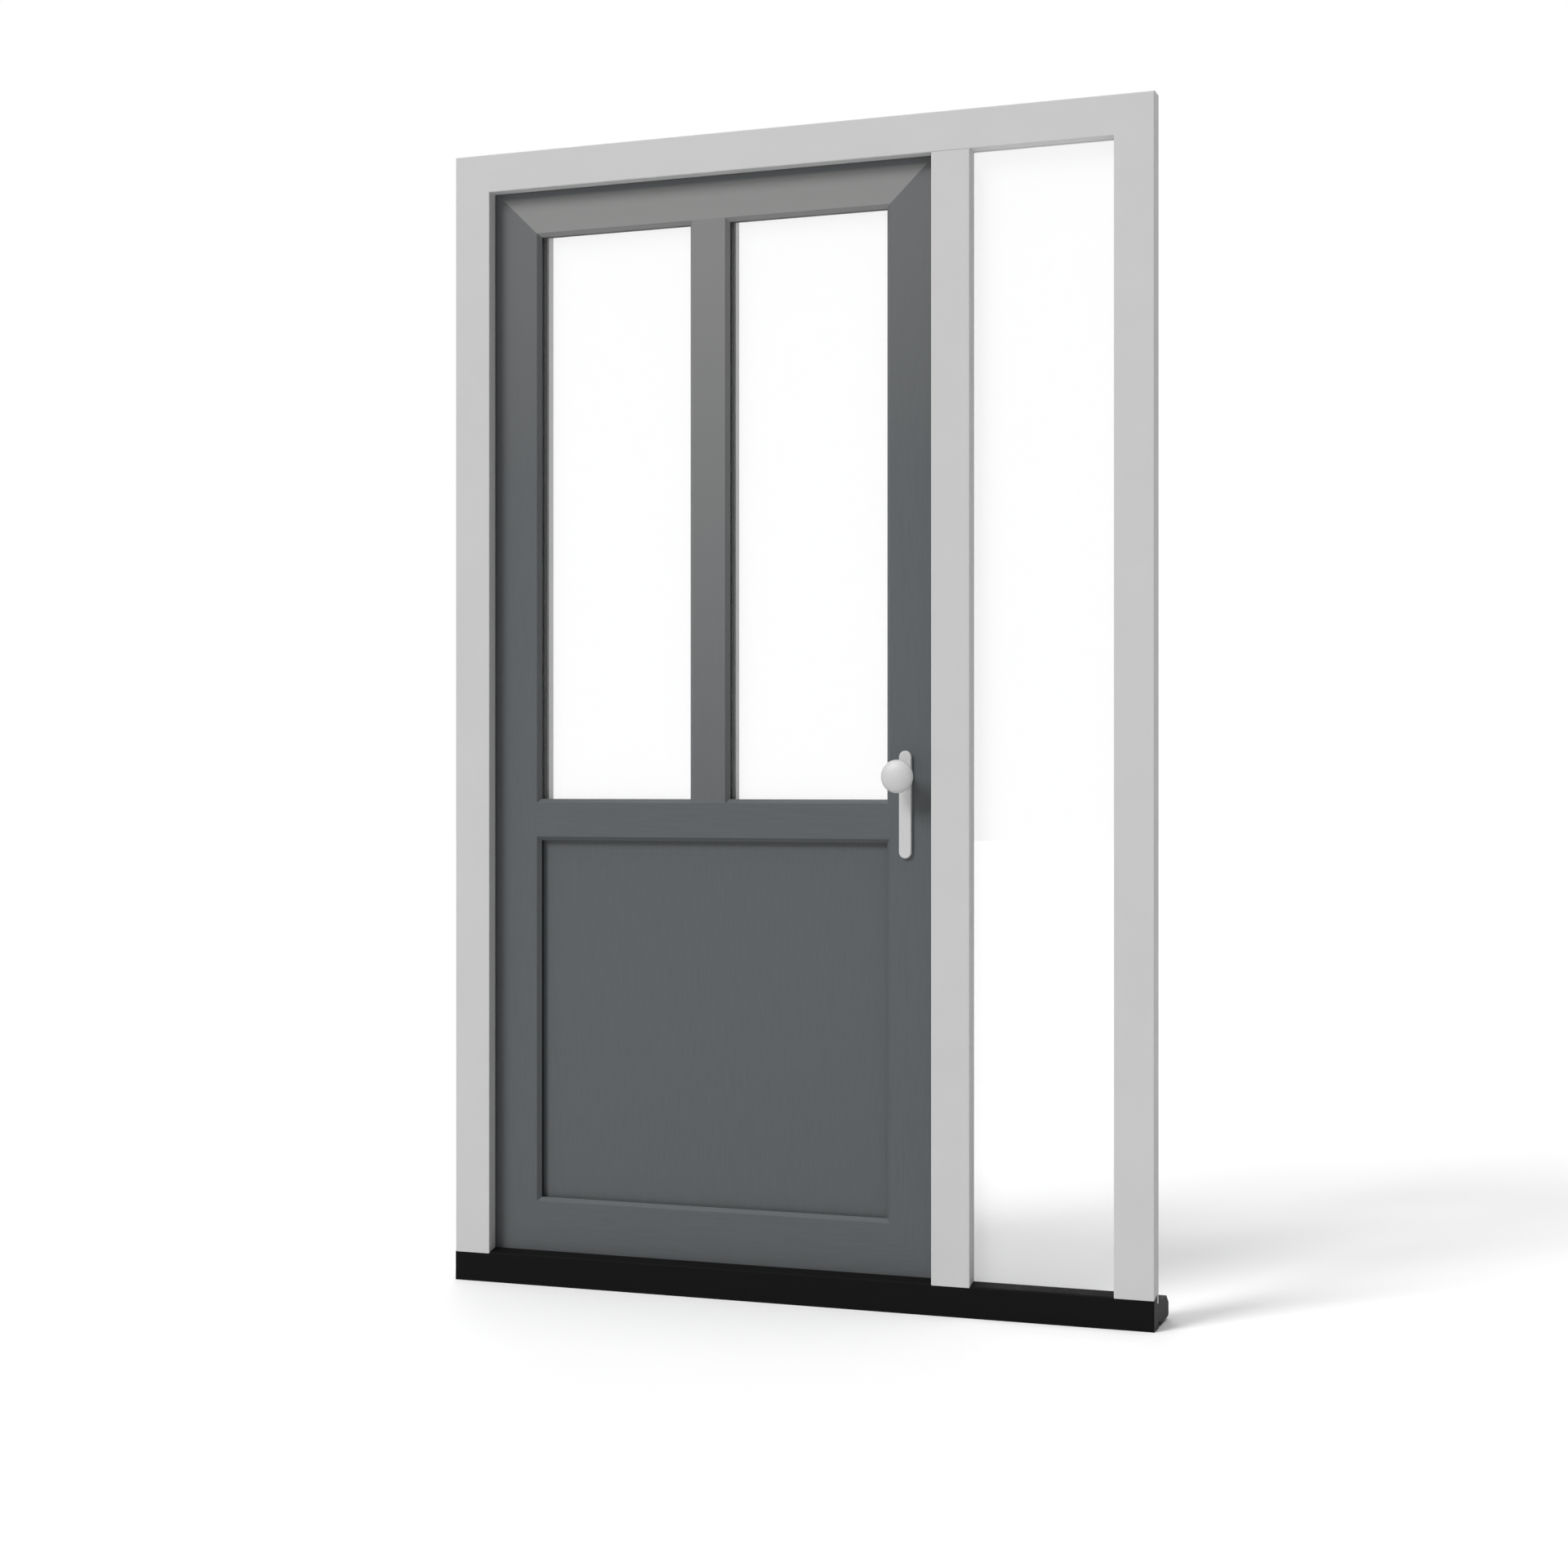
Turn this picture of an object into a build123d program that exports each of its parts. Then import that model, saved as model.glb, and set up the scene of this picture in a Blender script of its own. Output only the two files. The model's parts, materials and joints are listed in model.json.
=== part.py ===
from build123d import *
import os

# A upvc front door set: a light frame on a black threshold, a dark leaf that
# opens inward on its left side, and a narrow fixed sidelight on the right.
# X runs along the width, Y from outside to inside, Z up. The origin is on the
# underside of the threshold, in the middle of its front foot.

# Overall sizes
frame_width = 1510
frame_height = 2400
face = 80
door_clear = 980
left = -frame_width / 2
right = frame_width / 2
front = -20

# Frame profile, measured back from the front face
frame_depth = 120
flange_depth = 40
flange_step = 18
leg_thick = 28
rebate = 20
arris = 2.5
edge_r = 2
arc_mid = edge_r * (1 - 0.5**0.5)
inner_bevel = 6
side_rebate = 26

# Threshold profile
sill_depth = 138
sill_nose = 63
sill_stop = 69
sill_floor = 50
sill_back = 33
foot_depth = 40
groove_depth = 20
groove_rise = 11
groove_slope = 5
base_rise = 6
sill_lip = 4

# Leaf profile, measured back from the leaf's outer face
gasket_gap = 5
leaf_face = front + leg_thick + gasket_gap
leaf_depth = 82
stile_width = 112
top_width = 108
bottom_width = 119
side_lap = 8
top_lap = 12
bottom_lap = 7
leg_depth = 9
bevel = 8
glass_rebate = 20
cross_width = 88
mid_rail_z = 940.5
hardware_groove = 3
groove_from = 34
groove_width = 24

# Glass units and panel
pane_thick = 4
spacer_thick = 16
unit_thick = 2 * pane_thick + spacer_thick
seal = 4
leaf_seal = 11
seal_recess = 2
edge_room = 5

# How far spacers and beads stay behind the sight line of the glass: beside and above it, front and back
leaf_spacer_recess = (2.2, 6)
leaf_bead_front = (2.2, 6.5)
leaf_bead_back = (7.2, 14)
side_spacer_recess = (1, 7)
side_bead_front = (2, 8)
side_bead_back = (9, 15)
side_bead_depth = 24

# Openings of the frame
door_left = left + face
door_right = door_left + door_clear
mullion_right = door_right + face
side_right = right - face
head_z = frame_height - face

# Outline of the leaf
leaf_left = door_left - side_lap
leaf_right = door_right + side_lap
leaf_top = head_z + top_lap
leaf_bottom = sill_stop - bottom_lap
pane_left = leaf_left + stile_width
pane_right = leaf_right - stile_width
pane_top = leaf_top - top_width
panel_bottom = leaf_bottom + bottom_width
panel_top = mid_rail_z
pane_bottom = mid_rail_z + cross_width
middle = (pane_left + pane_right) / 2

# Hinges
hinge_aside = 14
hinge_behind = 15
hinge_x = door_left - hinge_aside
hinge_y = front + frame_depth + hinge_behind
knuckle_r = 9
pin_r = 5
pin_play = 0.1
pin_short = 4
knuckle_height = 45
knuckle_gap = 1
hinge_cap = 3
hinge_plate = 4
hinge_plate_width = 60
hinge_plate_inset = 6
hinge_neck = 8
hinge_heights = [300, 1200, 2080]
hinge_names = ["bottom", "middle", "top"]

# Handle set
handle_x = 243
plate_low = 910
plate_height = 217
plate_width = 26
plate_thick = 8
plate_edge_r = 2
spindle_z = 1075
knob_length = 66.5
knob_rim = 28.5
knob_dome = 5
knob_foot_r = 12.5
knob_foot_height = 5
knob_neck_r = 10.5
knob_neck_from = 9
knob_neck_to = 20
cylinder_drop = 92
cylinder_z = spindle_z - cylinder_drop
cylinder_r = 8.5
cylinder_play = 0.1
cylinder_depth = 45
cylinder_proud = 2
tongue_width = 10
tongue_length = 22

# Points of the knob's outline, as radius and distance from the plate
knob_flare = (14.2, 36)
knob_back = (28, 47)
knob_side = (33.5, 54)

# Lock strip and bolts
strip_low = 400
strip_high = 2100
strip_width = 20
strip_thick = 2.5
bolt_thick = 3
bolt_width = 12
bolt_height = 34
bolt_play = 0.2
latch_rise = 15
bolt_drop = 30

os.makedirs("parts", exist_ok=True)


def save(solid, label):
    solid.label = label
    export_step(solid, f"parts/{label}.step")


def facing(y):
    # Upright plane at depth y: sketch x is width, sketch y is height
    return Plane(origin=(0, y, 0), x_dir=(1, 0, 0), z_dir=(0, -1, 0))


def frame_section():
    # Sketch x runs from the wall towards the opening, sketch y from front to back
    with BuildLine() as outline:
        Polyline(
            (face, edge_r),
            (face, leg_thick),
            (face - rebate, leg_thick),
            (face - rebate, frame_depth - inner_bevel),
            (face - rebate - inner_bevel, frame_depth),
            (flange_step, frame_depth),
            (flange_step, flange_depth),
            (0, flange_depth),
            (0, edge_r),
        )
        ThreePointArc((0, edge_r), (arc_mid, arc_mid), (edge_r, 0))
        Line((edge_r, 0), (face - edge_r, 0))
        ThreePointArc((face - edge_r, 0), (face - arc_mid, arc_mid), (face, edge_r))
    return outline.wire()


def leaf_section(width):
    # Sketch x runs from the leaf's edge towards the glass, sketch y from outside in
    core = width - glass_rebate
    with BuildLine() as outline:
        Polyline(
            (0, 0),
            (width - bevel, 0),
            (width, bevel),
            (width, leg_depth),
            (core, leg_depth),
            (core, leaf_depth),
            (0, leaf_depth),
            (0, groove_from + groove_width),
            (hardware_groove, groove_from + groove_width),
            (hardware_groove, groove_from),
            (0, groove_from),
            close=True,
        )
    return outline.wire()


def cross_section():
    # Rail or bar with glass on both sides
    core = glass_rebate
    with BuildLine() as outline:
        Polyline(
            (bevel, 0),
            (cross_width - bevel, 0),
            (cross_width, bevel),
            (cross_width, leg_depth),
            (cross_width - core, leg_depth),
            (cross_width - core, leaf_depth),
            (core, leaf_depth),
            (core, leg_depth),
            (0, leg_depth),
            (0, bevel),
            close=True,
        )
    return outline.wire()


def threshold_section():
    # Sketch x runs from front to back, sketch y up
    with BuildLine() as outline:
        Polyline(
            (0, 0),
            (0, sill_nose - arris),
            (arris, sill_nose),
            (leg_thick, sill_stop),
            (leg_thick, sill_floor),
            (frame_depth - sill_lip, sill_floor),
            (sill_depth, sill_back),
            (sill_depth, base_rise + sill_lip),
            (sill_depth - sill_lip, base_rise),
            (foot_depth + groove_depth, base_rise),
            (foot_depth + groove_depth - groove_slope, groove_rise),
            (foot_depth, groove_rise),
            (foot_depth, 0),
            close=True,
        )
    return outline.wire()


def running(start, inward):
    # Plane whose sketch x points inward and whose sketch y points to the inside
    inward = Vector(*inward)
    return Plane(origin=start, x_dir=inward, z_dir=inward.cross(Vector(0, 1, 0)))


def mitre(corner, inner, keep_point):
    # Upright cutting plane through two corners, facing the point that stays
    along = Vector(inner[0] - corner[0], 0, inner[1] - corner[1])
    normal = along.cross(Vector(0, 1, 0))
    to_keep = Vector(keep_point[0] - corner[0], 0, keep_point[1] - corner[1])
    if normal.dot(to_keep) < 0:
        normal = normal * -1
    return Plane(origin=(corner[0], 0, corner[1]), z_dir=normal)


def member(outline, start, inward, length, cuts):
    # Profile run along its length and cut off by the mitre planes
    with BuildPart() as bar:
        with BuildSketch(running(start, inward)):
            make_face(outline.edges())
        extrude(amount=length)
        for cut in cuts:
            split(bisect_by=cut, keep=Keep.TOP)
    return bar.part


# Threshold
with BuildPart() as threshold:
    with BuildSketch(Plane(origin=(left, front, 0), x_dir=(0, 1, 0), z_dir=(1, 0, 0))):
        make_face(threshold_section().edges())
    extrude(amount=frame_width)
save(threshold.part, "threshold")

# Room that the threshold takes out of the posts that stand on it, with a margin outside them
margin = 10
with BuildPart() as below_posts:
    with BuildSketch(Plane(origin=(left - margin, front, 0), x_dir=(0, 1, 0), z_dir=(1, 0, 0))):
        with BuildLine():
            Polyline(
                (-margin, -margin),
                (-margin, sill_nose - arris),
                (0, sill_nose - arris),
                (arris, sill_nose),
                (leg_thick, sill_stop),
                (leg_thick, sill_floor),
                (frame_depth + margin, sill_floor),
                (frame_depth + margin, -margin),
                close=True,
            )
        make_face()
    extrude(amount=frame_width + 2 * margin)

# Frame corners, as x and z pairs
post_left = mitre((left, frame_height), (door_left, head_z), (left, 0))
post_right = mitre((right, frame_height), (side_right, head_z), (right, 0))
head_cuts = [
    mitre((left, frame_height), (door_left, head_z), (0, frame_height)),
    mitre((right, frame_height), (side_right, head_z), (0, frame_height)),
]

# Head
head = member(frame_section(), (left, front, frame_height), (0, 0, -1), frame_width, head_cuts)
save(head, "head")

# Left jamb, which carries the hinges
with BuildPart() as left_jamb:
    with BuildSketch(running((left, front, 0), (1, 0, 0))):
        make_face(frame_section().edges())
    extrude(amount=frame_height)
    split(bisect_by=post_left, keep=Keep.TOP)
    add(below_posts.part, mode=Mode.SUBTRACT)
save(left_jamb.part, "left_jamb")

# Right jamb, beside the sidelight
with BuildPart() as right_jamb:
    with BuildSketch(running((right, front, frame_height), (-1, 0, 0))):
        make_face(frame_section().edges())
    extrude(amount=frame_height)
    split(bisect_by=post_right, keep=Keep.TOP)
    add(below_posts.part, mode=Mode.SUBTRACT)
save(right_jamb.part, "right_jamb")

# Mullion between door and sidelight, butted under the head
keep_height = 60
keep_thick = 2.5
keep_width = 22
keep_rim = 4
keep_heights = [600, 1020, 1900]
keep_y = leaf_face + groove_from + groove_width / 2
mullion_core_x = door_right + rebate
mullion_core_end = mullion_right - side_rebate
frame_inside = front + frame_depth
with BuildPart() as mullion:
    with BuildSketch(Plane.XY) as mullion_leg:
        with Locations((door_right + face / 2, front + leg_thick / 2)):
            Rectangle(face, leg_thick)
        fillet(mullion_leg.vertices().group_by(Axis.Y)[0], edge_r)
    extrude(amount=head_z)
    with BuildSketch(Plane.XY) as mullion_core:
        with BuildLine():
            Polyline(
                (mullion_core_x, front + leg_thick),
                (mullion_core_end, front + leg_thick),
                (mullion_core_end, frame_inside - inner_bevel),
                (mullion_core_end - inner_bevel, frame_inside),
                (mullion_core_x + inner_bevel, frame_inside),
                (mullion_core_x, frame_inside - inner_bevel),
                close=True,
            )
        make_face()
    extrude(amount=head_z + rebate)
    add(below_posts.part, mode=Mode.SUBTRACT)
    for z in keep_heights:
        with Locations((mullion_core_x + keep_thick / 2, keep_y, z)):
            Box(keep_thick, keep_width, keep_height * 2, mode=Mode.SUBTRACT)
save(mullion.part, "mullion")

# Keeps let into the mullion, each with an opening for its bolt
with BuildPart() as lock_keeps:
    for z in keep_heights:
        with Locations((mullion_core_x + keep_thick / 2, keep_y, z)):
            Box(keep_thick, keep_width, keep_height * 2)
            Box(keep_thick, keep_width - 2 * keep_rim, keep_height, mode=Mode.SUBTRACT)
save(lock_keeps.part, "lock_keeps")


def plate_between(x0, x1, z0, z1, y, thick):
    # Flat sheet with its outer face at depth y
    with BuildPart() as sheet:
        with BuildSketch(facing(y)):
            with Locations(((x0 + x1) / 2, (z0 + z1) / 2)):
                Rectangle(x1 - x0, z1 - z0)
        extrude(amount=-thick)
    return sheet.part


def ring_between(x0, x1, z0, z1, y, thick, side_width, end_width):
    # Flat frame with its outer face at depth y, its uprights and its ends each of one width
    with BuildPart() as ring:
        with BuildSketch(facing(y)):
            with Locations(((x0 + x1) / 2, (z0 + z1) / 2)):
                Rectangle(x1 - x0, z1 - z0)
                Rectangle(x1 - x0 - 2 * side_width, z1 - z0 - 2 * end_width, mode=Mode.SUBTRACT)
        extrude(amount=-thick)
    return ring.part


def beads_between(x0, x1, z0, z1, y, depth, front_recess, back_recess):
    # Glazing beads: a ring whose inner sides lean back from the glass
    back_y = y + depth
    widths = [glass_rebate - recess for recess in (*front_recess, *back_recess)]
    front_side, front_end, back_side, back_end = widths
    with BuildPart() as ring:
        with BuildSketch(facing(y)):
            with Locations(((x0 + x1) / 2, (z0 + z1) / 2)):
                Rectangle(x1 - x0, z1 - z0)
        extrude(amount=-depth)
        with BuildSketch(facing(y)):
            with Locations(((x0 + x1) / 2, (z0 + z1) / 2)):
                Rectangle(x1 - x0 - 2 * front_side, z1 - z0 - 2 * front_end)
        with BuildSketch(facing(back_y)):
            with Locations(((x0 + x1) / 2, (z0 + z1) / 2)):
                Rectangle(x1 - x0 - 2 * back_side, z1 - z0 - 2 * back_end)
        loft(mode=Mode.SUBTRACT)
    return ring.part


def glass_unit(name, x0, x1, z0, z1, y, recess):
    # Two panes and the spacer that holds them apart, inside the rebate lines
    a = x0 + edge_room
    b = x1 - edge_room
    c = z0 + edge_room
    d = z1 - edge_room
    save(plate_between(a, b, c, d, y, pane_thick), f"{name}_outer_pane")
    spacer_y = y + pane_thick
    side_width, end_width = (glass_rebate - edge_room - r for r in recess)
    save(ring_between(a, b, c, d, spacer_y, spacer_thick, side_width, end_width), f"{name}_spacer")
    save(plate_between(a, b, c, d, spacer_y + spacer_thick, pane_thick), f"{name}_inner_pane")


# Sidelight: its rebate lines, glass, outer seal and inner beads
side_x0 = mullion_core_end
side_x1 = side_right + rebate
side_z0 = sill_floor
side_z1 = head_z + rebate
side_seal_y = front + leg_thick
side_glass_y = side_seal_y + seal
side_bead_y = side_glass_y + unit_thick
seal_width = glass_rebate - seal_recess
glass_unit("sidelight", side_x0, side_x1, side_z0, side_z1, side_glass_y, side_spacer_recess)
side_seal = ring_between(side_x0, side_x1, side_z0, side_z1, side_seal_y, seal, seal_width, seal_width)
save(side_seal, "sidelight_seal")
side_lines = (side_x0, side_x1, side_z0, side_z1)
side_beads = beads_between(*side_lines, side_bead_y, side_bead_depth, side_bead_front, side_bead_back)
save(side_beads, "sidelight_beads")

# Leaf corners
leaf_corners = {
    "top_left": ((leaf_left, leaf_top), (pane_left, pane_top)),
    "top_right": ((leaf_right, leaf_top), (pane_right, pane_top)),
    "bottom_left": ((leaf_left, leaf_bottom), (pane_left, panel_bottom)),
    "bottom_right": ((leaf_right, leaf_bottom), (pane_right, panel_bottom)),
}


def leaf_cut(corner, keep_point):
    outer, inner = leaf_corners[corner]
    return mitre(outer, inner, keep_point)


def cylinder_outline(play):
    # Round top over a straight tongue, as a lock cylinder has, larger all round by play
    with BuildSketch() as outline:
        with Locations((handle_x, cylinder_z)):
            Circle(cylinder_r + play)
        with Locations((handle_x, cylinder_z - tongue_length / 2)):
            Rectangle(tongue_width + 2 * play, tongue_length + 2 * play)
    return outline.sketch


leaf_width = leaf_right - leaf_left
leaf_height = leaf_top - leaf_bottom
leaf_mid_z = (leaf_top + leaf_bottom) / 2

# Hinge stile
hinge_side = (leaf_left, leaf_mid_z)
hinge_cuts = [leaf_cut("top_left", hinge_side), leaf_cut("bottom_left", hinge_side)]
hinge_stile = member(
    leaf_section(stile_width), (leaf_left, leaf_face, leaf_bottom), (1, 0, 0), leaf_height, hinge_cuts
)
save(hinge_stile, "hinge_stile")

# Lock stile, bored from the inside for the half cylinder
lock_side = (leaf_right, leaf_mid_z)
with BuildPart() as lock_stile:
    with BuildSketch(running((leaf_right, leaf_face, leaf_top), (-1, 0, 0))):
        make_face(leaf_section(stile_width).edges())
    extrude(amount=leaf_height)
    split(bisect_by=leaf_cut("top_right", lock_side), keep=Keep.TOP)
    split(bisect_by=leaf_cut("bottom_right", lock_side), keep=Keep.TOP)
    with BuildSketch(facing(leaf_face + leaf_depth)):
        add(cylinder_outline(cylinder_play))
    extrude(amount=cylinder_depth, mode=Mode.SUBTRACT)
save(lock_stile.part, "lock_stile")

# Top rail
top_side = (middle, leaf_top)
top_cuts = [leaf_cut("top_left", top_side), leaf_cut("top_right", top_side)]
top_rail = member(leaf_section(top_width), (leaf_left, leaf_face, leaf_top), (0, 0, -1), leaf_width, top_cuts)
save(top_rail, "top_rail")

# Bottom rail
low_side = (middle, leaf_bottom)
low_cuts = [leaf_cut("bottom_left", low_side), leaf_cut("bottom_right", low_side)]
bottom_rail = member(
    leaf_section(bottom_width), (leaf_right, leaf_face, leaf_bottom), (0, 0, 1), leaf_width, low_cuts
)
save(bottom_rail, "bottom_rail")

# Mid rail, coped over the stiles' bevels and cored into their rebates
core_left = pane_left - glass_rebate
core_right = pane_right + glass_rebate
core_depth = leaf_depth - leg_depth
core_y = leaf_face + (leg_depth + leaf_depth) / 2
with BuildPart() as mid_rail:
    with BuildSketch(running((pane_right + bevel, leaf_face, mid_rail_z), (0, 0, 1))):
        make_face(cross_section().edges())
    extrude(amount=pane_right - pane_left + 2 * bevel)
    add([hinge_stile, lock_stile.part], mode=Mode.SUBTRACT)
    with BuildSketch(Plane(origin=(core_left, core_y, mid_rail_z), x_dir=(0, 1, 0), z_dir=(1, 0, 0))):
        with Locations((0, cross_width / 2)):
            Rectangle(core_depth, cross_width - 2 * glass_rebate)
    extrude(amount=core_right - core_left)
save(mid_rail.part, "mid_rail")

# Upright bar between the two panes, coped and cored into the rails
with BuildPart() as middle_bar:
    with BuildSketch(running((middle - cross_width / 2, leaf_face, pane_bottom - bevel), (1, 0, 0))):
        make_face(cross_section().edges())
    extrude(amount=pane_top - pane_bottom + 2 * bevel)
    add([top_rail, mid_rail.part], mode=Mode.SUBTRACT)
    with BuildSketch(Plane.XY.offset(pane_bottom - glass_rebate)):
        with Locations((middle, core_y)):
            Rectangle(cross_width - 2 * glass_rebate, core_depth)
    extrude(amount=pane_top - pane_bottom + 2 * glass_rebate)
save(middle_bar.part, "middle_bar")

# Panes of the leaf with their beads and seals
leaf_seal_y = leaf_face + leg_depth
leaf_glass_y = leaf_seal_y + leaf_seal
leaf_bead_y = leaf_glass_y + unit_thick
leaf_inside = leaf_face + leaf_depth
bead_setback = 2
leaf_bead_depth = leaf_inside - bead_setback - leaf_bead_y
bar_left = middle - cross_width / 2
bar_right = middle + cross_width / 2
openings = {
    "left": (core_left, bar_left + glass_rebate),
    "right": (bar_right - glass_rebate, core_right),
}
pane_z0 = pane_bottom - glass_rebate
pane_z1 = pane_top + glass_rebate
for name, (x0, x1) in openings.items():
    lines = (x0, x1, pane_z0, pane_z1)
    glass_unit(name, *lines, leaf_glass_y, leaf_spacer_recess)
    beads = beads_between(*lines, leaf_bead_y, leaf_bead_depth, leaf_bead_front, leaf_bead_back)
    save(beads, f"{name}_pane_beads")

# Lower panel, a sandwich board in the same rebate, with its beads
panel_z0 = panel_bottom - glass_rebate
panel_z1 = panel_top + glass_rebate
lower_panel = plate_between(
    core_left + edge_room,
    core_right - edge_room,
    panel_z0 + edge_room,
    panel_z1 - edge_room,
    leaf_glass_y,
    unit_thick,
)
save(lower_panel, "lower_panel")
panel_lines = (core_left, core_right, panel_z0, panel_z1)
panel_beads = beads_between(*panel_lines, leaf_bead_y, leaf_bead_depth, leaf_bead_front, leaf_bead_back)
save(panel_beads, "panel_beads")

# Outer seals of the leaf, three separate rings
with BuildPart() as leaf_seals:
    seal_rings = [
        (*openings["left"], pane_z0, pane_z1),
        (*openings["right"], pane_z0, pane_z1),
        (core_left, core_right, panel_z0, panel_z1),
    ]
    for x0, x1, z0, z1 in seal_rings:
        add(ring_between(x0, x1, z0, z1, leaf_seal_y, leaf_seal, seal_width, seal_width))
save(leaf_seals.part, "leaf_seals")

# Hinges: the frame half carries the pin, the leaf half drops over it
for name, z in zip(hinge_names, hinge_heights):
    with BuildPart() as frame_hinge:
        with Locations((hinge_x, hinge_y, z - knuckle_height)):
            Cylinder(knuckle_r, knuckle_height, align=(Align.CENTER, Align.CENTER, Align.MIN))
            Cylinder(pin_r, 2 * knuckle_height - pin_short, align=(Align.CENTER, Align.CENTER, Align.MIN))
        plate_x0 = left + flange_step + hinge_plate_inset
        with Locations((plate_x0, frame_inside, z - knuckle_height)):
            Box(
                hinge_x - plate_x0,
                hinge_plate,
                knuckle_height,
                align=(Align.MIN, Align.MIN, Align.MIN),
            )
        with Locations((hinge_x - knuckle_r, frame_inside, z - knuckle_height)):
            Box(knuckle_r, hinge_y - frame_inside, knuckle_height, align=(Align.MIN, Align.MIN, Align.MIN))
    save(frame_hinge.part, f"{name}_hinge_frame_half")
    leaf_z = z + knuckle_gap
    plate_from = leaf_left + hinge_plate_inset
    plate_y = leaf_inside + hinge_plate / 2
    with BuildPart() as leaf_hinge:
        with BuildSketch(Plane.XY.offset(leaf_z)):
            with Locations((hinge_x, hinge_y)):
                Circle(knuckle_r)
            with Locations((plate_from + hinge_neck / 2, plate_y)):
                Rectangle(hinge_neck, hinge_plate)
            make_hull()
            with Locations((plate_from + hinge_plate_width / 2, plate_y)):
                Rectangle(hinge_plate_width, hinge_plate)
            with Locations((hinge_x, hinge_y)):
                Circle(pin_r + pin_play, mode=Mode.SUBTRACT)
        extrude(amount=knuckle_height)
        with BuildSketch(Plane.XY.offset(leaf_z + knuckle_height)):
            with Locations((hinge_x, hinge_y)):
                Circle(knuckle_r)
        extrude(amount=hinge_cap)
    save(leaf_hinge.part, f"{name}_hinge_leaf_half")


def backplate(y, thick, label, bored):
    # Long plate with round ends, spread from y by its thickness
    centre_z = plate_low + plate_height / 2
    with BuildPart() as plate:
        with BuildSketch(facing(y)):
            with Locations((handle_x, centre_z)):
                SlotOverall(plate_height, plate_width, rotation=90)
        extrude(amount=thick)
        if bored:
            with BuildSketch(facing(y)):
                add(cylinder_outline(cylinder_play))
            extrude(amount=thick, mode=Mode.SUBTRACT)
        rim = plate.faces().filter_by(Axis.Y).sort_by(Axis.Y)
        outer = rim[0] if thick > 0 else rim[-1]
        fillet(outer.outer_wire().edges(), plate_edge_r)
    save(plate.part, label)


backplate(leaf_face, plate_thick, "outer_backplate", False)
backplate(leaf_inside, -plate_thick, "inner_backplate", True)


def turned_knob(start_y, way, label):
    # Turned about its stem: foot, neck, flared back, rim and domed front
    stem = Plane(origin=(handle_x, start_y, spindle_z), x_dir=(1, 0, 0), z_dir=(0, 0, way))
    dome_radius = (knob_rim**2 + knob_dome**2) / (2 * knob_dome)
    dome_centre = knob_length - dome_radius
    dome_middle = (knob_rim / 2, dome_centre + (dome_radius**2 - (knob_rim / 2) ** 2) ** 0.5)
    with BuildPart() as knob:
        with BuildSketch(stem):
            with BuildLine():
                Polyline(
                    (0, 0),
                    (knob_foot_r, 0),
                    (knob_foot_r, knob_foot_height),
                    (knob_neck_r, knob_neck_from),
                    (knob_neck_r, knob_neck_to),
                )
                ThreePointArc((knob_neck_r, knob_neck_to), knob_flare, knob_back)
                ThreePointArc(knob_back, knob_side, (knob_rim, knob_length - knob_dome))
                ThreePointArc((knob_rim, knob_length - knob_dome), dome_middle, (0, knob_length))
                Line((0, knob_length), (0, 0))
            make_face()
        revolve(axis=Axis(stem.origin, (0, 1, 0)))
    save(knob.part, label)


turned_knob(leaf_face - plate_thick, -1, "outer_knob")
turned_knob(leaf_inside + plate_thick, 1, "inner_knob")

# Half cylinder of the lock, through the inner plate
cylinder_end = leaf_inside + plate_thick + cylinder_proud
with BuildPart() as lock_cylinder:
    with BuildSketch(facing(cylinder_end)):
        add(cylinder_outline(0))
    extrude(amount=cylinder_end - (leaf_inside - cylinder_depth))
save(lock_cylinder.part, "lock_cylinder")

# Lock strip in the groove of the lock stile, with its latch and bolt drawn back
bolt_z = {"latch_bolt": spindle_z + latch_rise, "dead_bolt": cylinder_z - bolt_drop}
strip_x = leaf_right - hardware_groove
strip_y = leaf_face + groove_from + groove_width / 2
with BuildPart() as lock_strip:
    with Locations((strip_x, strip_y, (strip_low + strip_high) / 2)):
        Box(strip_thick, strip_width, strip_high - strip_low, align=(Align.MIN, Align.CENTER, Align.CENTER))
    for z in bolt_z.values():
        with Locations((strip_x, strip_y, z)):
            Box(
                strip_thick,
                bolt_width + 2 * bolt_play,
                bolt_height + 2 * bolt_play,
                align=(Align.MIN, Align.CENTER, Align.CENTER),
                mode=Mode.SUBTRACT,
            )
save(lock_strip.part, "lock_strip")
for name, z in bolt_z.items():
    with BuildPart() as bolt:
        with Locations((strip_x, strip_y, z)):
            Box(bolt_thick, bolt_width, bolt_height, align=(Align.MIN, Align.CENTER, Align.CENTER))
    save(bolt.part, name)
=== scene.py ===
import bpy
import json
import math
import numpy as np
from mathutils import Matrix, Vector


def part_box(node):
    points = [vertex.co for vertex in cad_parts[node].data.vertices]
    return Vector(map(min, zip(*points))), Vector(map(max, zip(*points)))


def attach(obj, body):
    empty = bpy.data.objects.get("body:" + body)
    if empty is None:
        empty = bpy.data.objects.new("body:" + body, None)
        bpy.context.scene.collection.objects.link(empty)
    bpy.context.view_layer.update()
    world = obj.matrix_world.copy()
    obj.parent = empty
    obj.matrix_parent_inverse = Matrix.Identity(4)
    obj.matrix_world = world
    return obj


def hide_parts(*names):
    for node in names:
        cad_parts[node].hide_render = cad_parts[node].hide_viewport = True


# A light upvc door frame with a dark leaf and a narrow sidelight, finished and lit as in a plain studio.
# Everything is in metres: x along the width, y from outside to inside, z up.

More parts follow.
